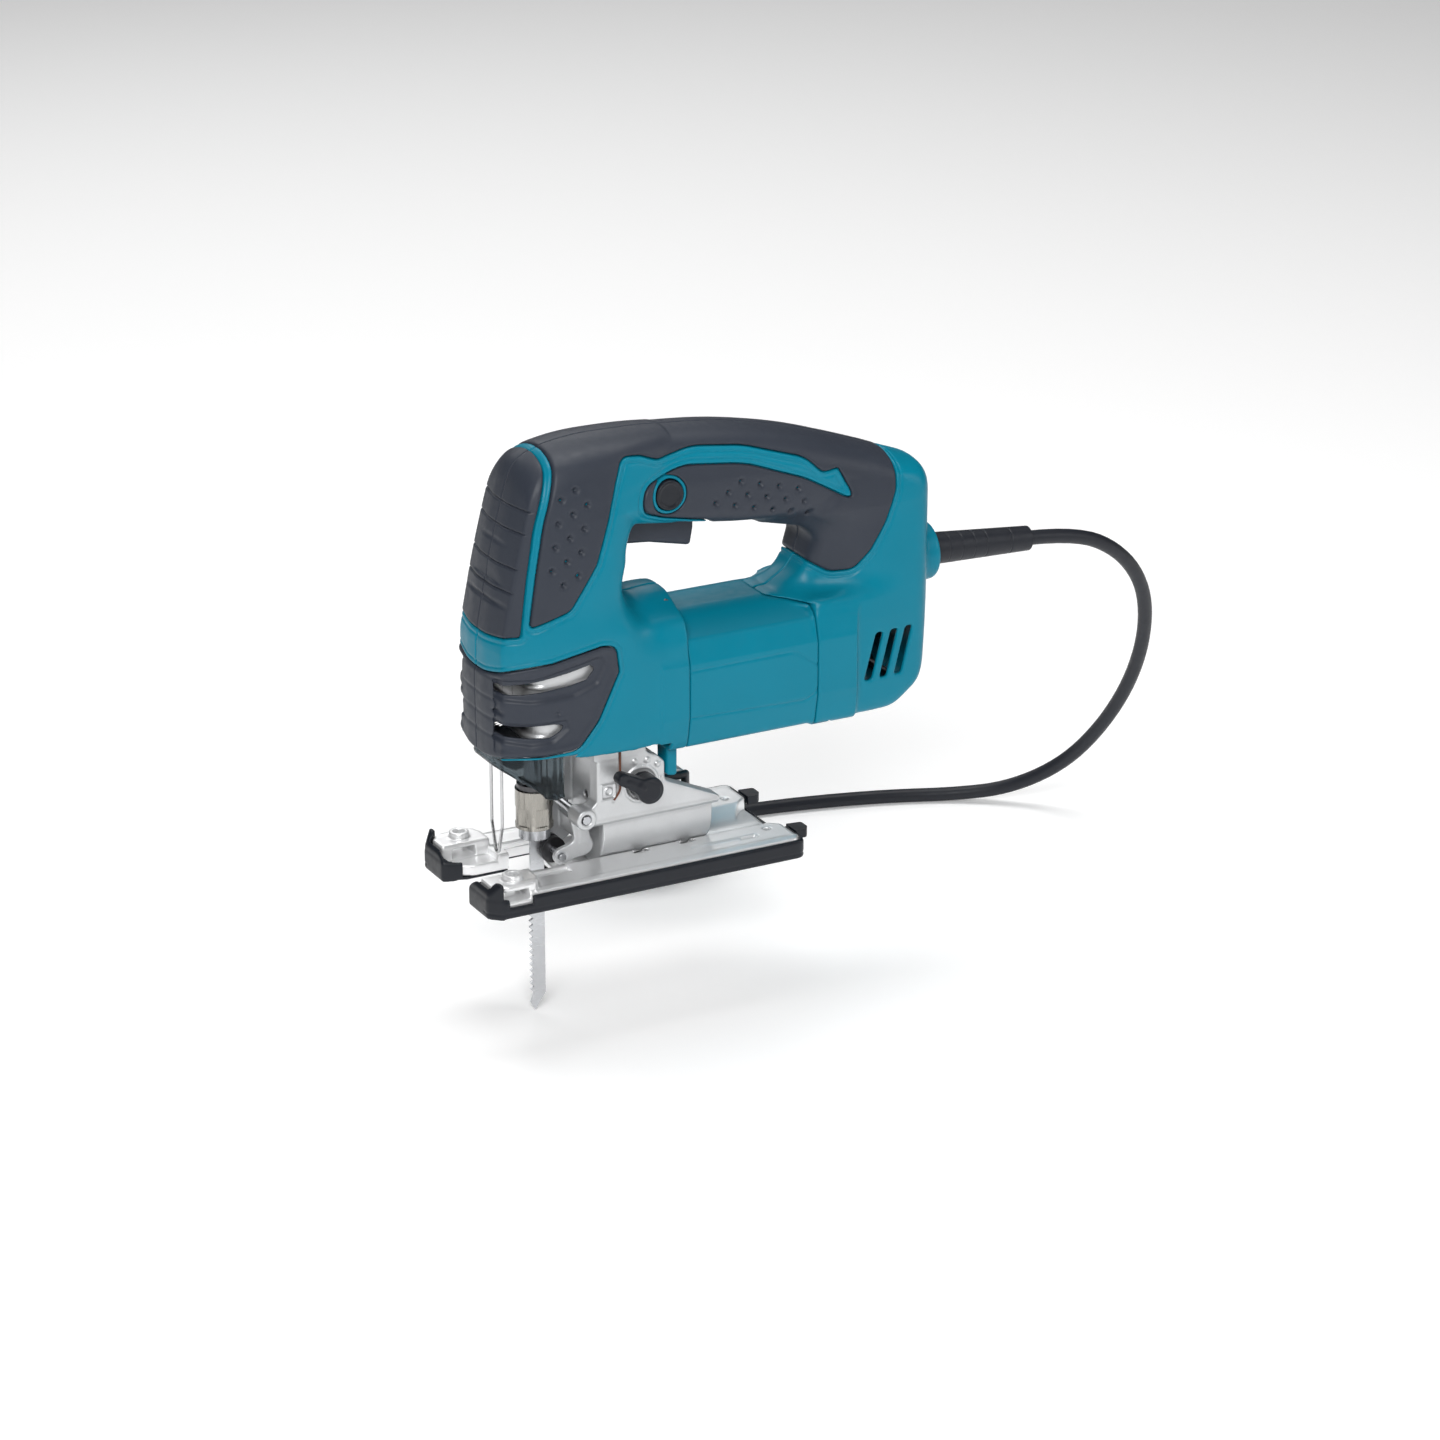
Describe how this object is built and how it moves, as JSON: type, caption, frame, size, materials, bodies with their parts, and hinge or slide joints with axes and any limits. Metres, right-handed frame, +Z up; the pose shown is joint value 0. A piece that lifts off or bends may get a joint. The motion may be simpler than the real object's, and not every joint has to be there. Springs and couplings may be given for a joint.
{
  "type": "jigsaw",
  "caption": "Corded D-handle jigsaw with an orbital-action plunger, a keyless blade clamp, a tilting cast shoe with a slip-on sole, and soft-touch grips.",
  "frame": {"origin": "on the sole plane, under the axis of the blade plunger", "axes": "+X towards the rear and the cord, +Y to the right as the user sees it, +Z up; the blade cuts towards -X"},
  "size_m": [0.3952, 0.2069, 0.2742],
  "materials": {
    "teal_shell": "satin moulded nylon",
    "soft_grip": "soft-touch overmoulding",
    "black_plastic": "moulded, fine grain",
    "diecast": "as-cast, lightly blasted",
    "shoe_metal": "machined and polished on its edges",
    "steel": "ground",
    "blade_steel": "brushed",
    "hard_steel": "hardened and oiled",
    "nickel": "warm nickel plate",
    "smoke": "smoky clear plastic",
    "copper": "enamelled wire",
    "carbon": "sintered graphite",
    "bronze": "sintered bronze",
    "cord_rubber": "rubber-sheathed flex",
    "inner_plastic": "moulded",
    "brass_pins": "polished"
  },
  "bodies": {
    "housing": {"ball_bearings": "steel", "base_bolts": "hard_steel", "bearing_boot": "cord_rubber", "brush_frame": "inner_plastic", "brush_holders": "bronze", "brush_springs": "steel", "carbon_brushes": "carbon", "casing_screws": "hard_steel", "cord": "cord_rubber", "cord_clamp": "inner_plastic", "cord_guard": "cord_rubber", "cord_hank": "cord_rubber", "cord_tie": "black_plastic", "field_coils": "copper", "field_core": "hard_steel", "finger_guard": "steel", "front_vent_cover": "soft_grip", "gear_housing": "diecast", "gear_shaft": "steel", "grip_left": "soft_grip", "grip_right": "soft_grip", "hex_key": "hard_steel", "housing_left": "teal_shell", "housing_right": "teal_shell", "motor_housing": "teal_shell", "nose_pad_left": "soft_grip", "nose_pad_right": "soft_grip", "pivot_pins": "steel", "plug": "cord_rubber", "plug_pins": "brass_pins", "plunger_bushes": "bronze", "speed_module": "inner_plastic", "switch": "inner_plastic"},
    "crank": {"drive_gear": "steel", "gear_bush": "bronze"},
    "plunger": {"plunger_rod": "steel", "yoke": "steel", "blade_holder": "steel", "clamp_cap": "hard_steel", "blade": "blade_steel"},
    "clamp": {"clamp_sleeve": "nickel"},
    "armature": {"armature_shaft": "steel", "armature_core": "hard_steel", "armature_winding": "copper", "commutator": "bronze", "cooling_fan": "black_plastic"},
    "base": {"shoe": "shoe_metal", "fence_caps": "shoe_metal", "shoe_cover": "black_plastic", "cover_clips": "black_plastic"},
    "selector": {"orbital_lever": "black_plastic", "orbital_cam": "steel"},
    "rocker": {"roller_arm": "diecast", "roller_pin": "steel"},
    "roller": {"guide_roller": "hard_steel"},
    "trigger": {"trigger": "soft_grip"},
    "lock_button": {"lock_button": "black_plastic", "button_spring": "steel"},
    "dust_cover": {"dust_cover": "smoke"},
    "speed_dial": {"speed_dial": "soft_grip"}
  },
  "joints": [
    {"name": "crank_spin", "type": "hinge", "parent": "housing", "child": "crank", "pos_m": [0.021, 0, 0.1209], "axis": [1, 0, 0], "range_deg": [0, 180]},
    {"name": "plunger_slide", "type": "slide", "parent": "housing", "child": "plunger", "axis": [0, 0, 1], "range_m": [0, 0.026]},
    {"name": "armature_spin", "type": "hinge", "parent": "housing", "child": "armature", "pos_m": [0.09, 0, 0.092], "axis": [1, 0, 0], "range_deg": [-1270, 10]},
    {"name": "base_tilt", "type": "hinge", "parent": "housing", "child": "base", "pos_m": [0.04, 0, 0.0226], "axis": [1, 0, 0], "range_deg": [-45, 45]},
    {"name": "orbital_select", "type": "hinge", "parent": "housing", "child": "selector", "pos_m": [0.0435, -0.025, 0.0455], "axis": [0, 1, 0], "range_deg": [0, 120]},
    {"name": "roller_rock", "type": "hinge", "parent": "housing", "child": "rocker", "pos_m": [0.0154, 0, 0.033], "axis": [0, -1, 0], "range_deg": [0, 5]},
    {"name": "roller_spin", "type": "hinge", "parent": "rocker", "child": "roller", "pos_m": [0.0078, 0, 0.013], "axis": [0, 1, 0], "continuous": true},
    {"name": "trigger_pull", "type": "hinge", "parent": "housing", "child": "trigger", "pos_m": [0.044, 0, 0.1735], "axis": [0, -1, 0], "range_deg": [0, 6.5], "stiffness_Nm_per_rad": 0.8, "springref_deg": -3.44},
    {"name": "lock_press", "type": "slide", "parent": "housing", "child": "lock_button", "axis": [0, 1, 0], "range_m": [0, 0.003], "stiffness_N_per_m": 700, "springref_m": -0.002},
    {"name": "clamp_turn", "type": "hinge", "parent": "plunger", "child": "clamp", "pos_m": [0, 0, 0.035], "axis": [0, 0, 1], "range_deg": [0, 60], "stiffness_Nm_per_rad": 0.1, "springref_deg": -8.59},
    {"name": "dust_cover_slide", "type": "slide", "parent": "housing", "child": "dust_cover", "axis": [0, 0, -1], "range_m": [0, 0.006]},
    {"name": "dial_turn", "type": "hinge", "parent": "housing", "child": "speed_dial", "pos_m": [0.1875, 0, 0.15], "axis": [0, 1, 0], "range_deg": [0, 270]}
  ],
  "couplings": [
    {"joint": "plunger_slide", "follows": "crank_spin", "m_per_rad": 0.008276},
    {"joint": "armature_spin", "follows": "crank_spin", "ratio": -7}
  ]
}
